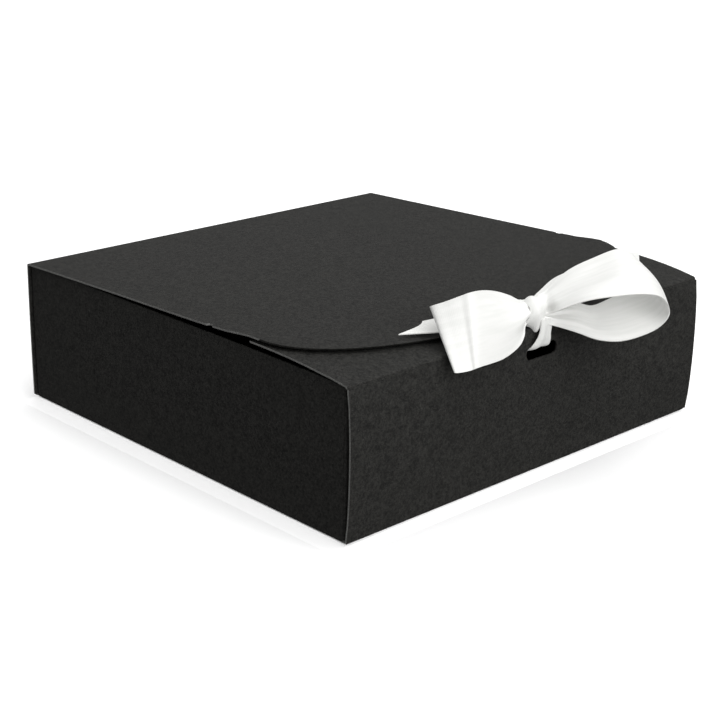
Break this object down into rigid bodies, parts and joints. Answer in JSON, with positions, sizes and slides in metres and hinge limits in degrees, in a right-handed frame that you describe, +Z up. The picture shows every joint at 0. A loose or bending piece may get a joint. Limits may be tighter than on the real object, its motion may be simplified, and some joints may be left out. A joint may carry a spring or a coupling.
{
  "type": "gift box",
  "caption": "Square folding card box with a curved tuck-over lid, held shut by a satin ribbon tied in a bow through slots in the lid and front wall.",
  "frame": {"origin": "centre of the base's underside, where the closed box rests", "axes": "+X along the front wall to the right, +Y from the front wall to the back, +Z up"},
  "size_m": [0.165, 0.1882, 0.07],
  "materials": {
    "black_card": "matte",
    "white_satin": "satin"
  },
  "bodies": {
    "base": {"base_panel": "black_card"},
    "back_wall": {"back_wall": "black_card"},
    "lid": {"lid_panel": "black_card", "lid_strand": "white_satin", "bow_knot": "white_satin", "left_loop": "white_satin", "right_loop": "white_satin", "left_tail": "white_satin", "right_tail": "white_satin"},
    "front_wall": {"front_wall": "black_card", "front_strand": "white_satin"},
    "front_flap": {"front_flap": "black_card"},
    "left_wall": {"left_wall": "black_card"},
    "right_wall": {"right_wall": "black_card"},
    "front_left_wing": {"front_left_wing": "black_card"},
    "front_right_wing": {"front_right_wing": "black_card"},
    "back_left_wing": {"back_left_wing": "black_card"},
    "back_right_wing": {"back_right_wing": "black_card"}
  },
  "joints": [
    {"name": "back_wall_fold", "type": "hinge", "parent": "base", "child": "back_wall", "pos_m": [0, 0.081, 0], "axis": [1, 0, 0], "range_deg": [-90, 0]},
    {"name": "front_wall_fold", "type": "hinge", "parent": "base", "child": "front_wall", "pos_m": [0, -0.081, 0], "axis": [1, 0, 0], "range_deg": [0, 90]},
    {"name": "left_wall_fold", "type": "hinge", "parent": "base", "child": "left_wall", "pos_m": [-0.0817, 0, 0], "axis": [0, 1, 0], "range_deg": [-90, 0]},
    {"name": "right_wall_fold", "type": "hinge", "parent": "base", "child": "right_wall", "pos_m": [0.0817, 0, 0], "axis": [0, 1, 0], "range_deg": [0, 90]},
    {"name": "lid_hinge", "type": "hinge", "parent": "back_wall", "child": "lid", "pos_m": [0, 0.081, 0.049], "axis": [-1, 0, 0], "range_deg": [0, 180]},
    {"name": "front_flap_fold", "type": "hinge", "parent": "front_wall", "child": "front_flap", "pos_m": [0, -0.081, 0.049], "axis": [1, 0, 0], "range_deg": [0, 90]},
    {"name": "front_left_wing_fold", "type": "hinge", "parent": "left_wall", "child": "front_left_wing", "pos_m": [-0.08095, -0.0795, 0], "axis": [0, 0, 1], "range_deg": [0, 80]},
    {"name": "front_right_wing_fold", "type": "hinge", "parent": "right_wall", "child": "front_right_wing", "pos_m": [0.08095, -0.0795, 0], "axis": [0, 0, -1], "range_deg": [0, 80]},
    {"name": "back_left_wing_fold", "type": "hinge", "parent": "left_wall", "child": "back_left_wing", "pos_m": [-0.08095, 0.0795, 0], "axis": [0, 0, -1], "range_deg": [0, 80]},
    {"name": "back_right_wing_fold", "type": "hinge", "parent": "right_wall", "child": "back_right_wing", "pos_m": [0.08095, 0.0795, 0], "axis": [0, 0, 1], "range_deg": [0, 80]}
  ],
  "couplings": [
    {"joint": "front_wall_fold", "follows": "back_wall_fold", "ratio": -1},
    {"joint": "left_wall_fold", "follows": "back_wall_fold", "ratio": 1},
    {"joint": "right_wall_fold", "follows": "back_wall_fold", "ratio": -1},
    {"joint": "front_flap_fold", "follows": "lid_hinge", "ratio": 0.5}
  ]
}
